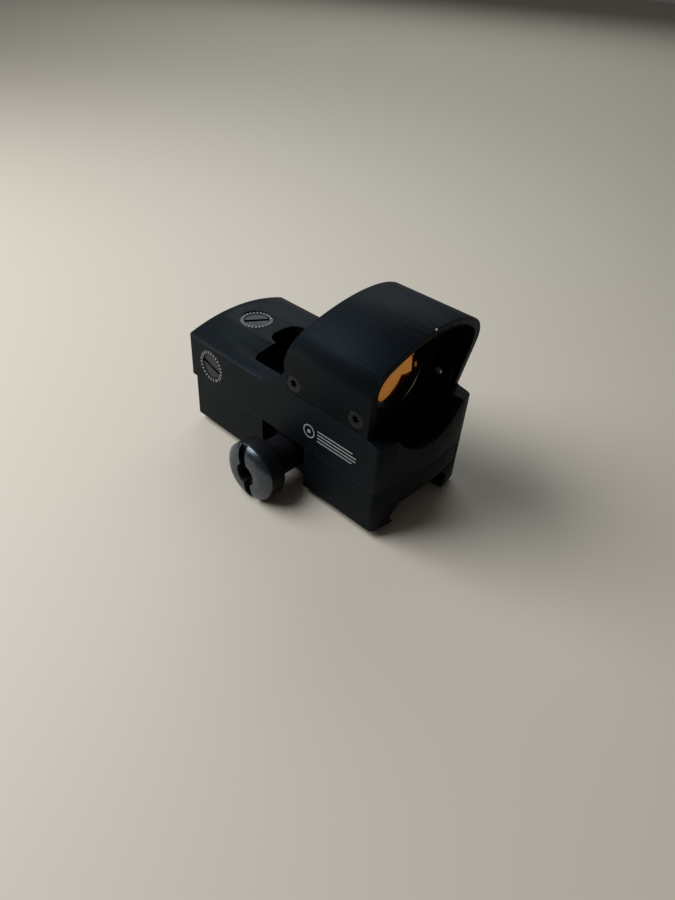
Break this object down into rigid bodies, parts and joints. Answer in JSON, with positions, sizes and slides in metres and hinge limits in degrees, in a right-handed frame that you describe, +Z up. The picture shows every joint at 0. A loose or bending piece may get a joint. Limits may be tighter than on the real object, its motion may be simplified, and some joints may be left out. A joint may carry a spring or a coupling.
{
  "type": "reflex red dot sight",
  "caption": "Compact open reflex red dot sight with a hooded tilted lens, two slotted adjustment dials, two push buttons and a clamp for a dovetail rail.",
  "frame": {"origin": "middle of the rail channel's flat roof, which rests on the top of the rail", "axes": "+X towards the clamp knob and windage dial, +Y forward along the line of sight, +Z up"},
  "size_m": [0.0457, 0.0656, 0.049],
  "materials": {
    "anodised_body": "black anodised over fine bead blast",
    "anodised_hood": "black anodised over fine bead blast",
    "anodised_base": "black anodised over fine bead blast",
    "frame_black": "matt black anodised, against glare",
    "knob_gunmetal": "polished gunmetal, turned",
    "dial_black": "satin black anodised, turned",
    "ring_marked": "satin black with pale index marks",
    "black_screw": "black oxide",
    "screw_steel": "black zinc",
    "plain_steel": "ground steel",
    "battery_steel": "nickel plated can",
    "gold_contact": "gold flashed spring bronze",
    "nut_brass": "turned brass",
    "board_green": "solder mask on glass laminate",
    "chip_black": "moulded epoxy",
    "block_black": "matt black anodised",
    "seal_rubber": "matt",
    "button_rubber": "matt moulded",
    "led_clear": "clear epoxy dome",
    "lens_glass": "orange reflecting coat on clear glass"
  },
  "bodies": {
    "body": {"rail_base": "anodised_base", "base_gasket": "seal_rubber", "base_screws": "screw_steel", "jaw_guide_pins": "plain_steel", "housing": "anodised_body", "lens_hood": "anodised_hood", "hood_screws": "black_screw", "lens_frame": "frame_black", "lens": "lens_glass", "lens_retaining_ring": "frame_black", "battery": "battery_steel", "battery_contact_positive": "gold_contact", "battery_contact_negative": "gold_contact", "circuit_board": "board_green", "board_screws": "plain_steel", "control_chips": "chip_black", "switch_board": "board_green", "push_switches": "chip_black", "elevation_index_ring": "ring_marked", "windage_index_ring": "ring_marked"},
    "clamp_screw": {"clamp_knob": "knob_gunmetal", "clamp_bolt": "screw_steel"},
    "jaw": {"clamp_jaw": "anodised_base", "jaw_nut": "plain_steel"},
    "elevation_screw": {"elevation_dial": "dial_black", "elevation_clip": "plain_steel"},
    "windage_screw": {"windage_dial": "dial_black", "windage_clip": "plain_steel"},
    "elevation_slide": {"elevation_nut": "nut_brass"},
    "windage_slide": {"windage_nut": "nut_brass"},
    "emitter": {"emitter_block": "block_black", "emitter_led": "led_clear"},
    "brighter_key": {"button_brighter": "button_rubber"},
    "dimmer_key": {"button_dimmer": "button_rubber"}
  },
  "joints": [
    {"name": "clamp_turn", "type": "hinge", "parent": "body", "child": "clamp_screw", "pos_m": [0, 0.0021, 0.0003], "axis": [1, 0, 0], "range_deg": [0, 720]},
    {"name": "jaw_slide", "type": "slide", "parent": "body", "child": "jaw", "axis": [-1, 0, 0], "range_m": [0, 0.0016]},
    {"name": "elevation_turn", "type": "hinge", "parent": "body", "child": "elevation_screw", "pos_m": [0.0011, -0.0241, 0.019], "axis": [0, 0, 1], "range_deg": [-360, 360]},
    {"name": "elevation_nut_slide", "type": "slide", "parent": "body", "child": "elevation_slide", "axis": [0, 0, 1], "range_m": [-0.0005, 0.0005]},
    {"name": "windage_turn", "type": "hinge", "parent": "body", "child": "windage_screw", "pos_m": [0.0145, -0.0244, 0.0121], "axis": [1, 0, 0], "range_deg": [-360, 360]},
    {"name": "windage_nut_slide", "type": "slide", "parent": "body", "child": "windage_slide", "axis": [1, 0, 0], "range_m": [-0.0005, 0.0005]},
    {"name": "emitter_lift", "type": "slide", "parent": "windage_slide", "child": "emitter", "axis": [0, 0, 1], "range_m": [-0.0005, 0.0005]},
    {"name": "brighter_press", "type": "slide", "parent": "body", "child": "brighter_key", "axis": [1, 0, 0], "range_m": [0, 0.0006], "stiffness_N_per_m": 400, "springref_m": -0.0003},
    {"name": "dimmer_press", "type": "slide", "parent": "body", "child": "dimmer_key", "axis": [1, 0, 0], "range_m": [0, 0.0006], "stiffness_N_per_m": 400, "springref_m": -0.0003}
  ],
  "couplings": [
    {"joint": "clamp_turn", "follows": "jaw_slide", "rad_per_m": 7853.9},
    {"joint": "elevation_turn", "follows": "elevation_nut_slide", "rad_per_m": -12566},
    {"joint": "emitter_lift", "follows": "elevation_nut_slide", "ratio": 1},
    {"joint": "windage_turn", "follows": "windage_nut_slide", "rad_per_m": -12566}
  ]
}
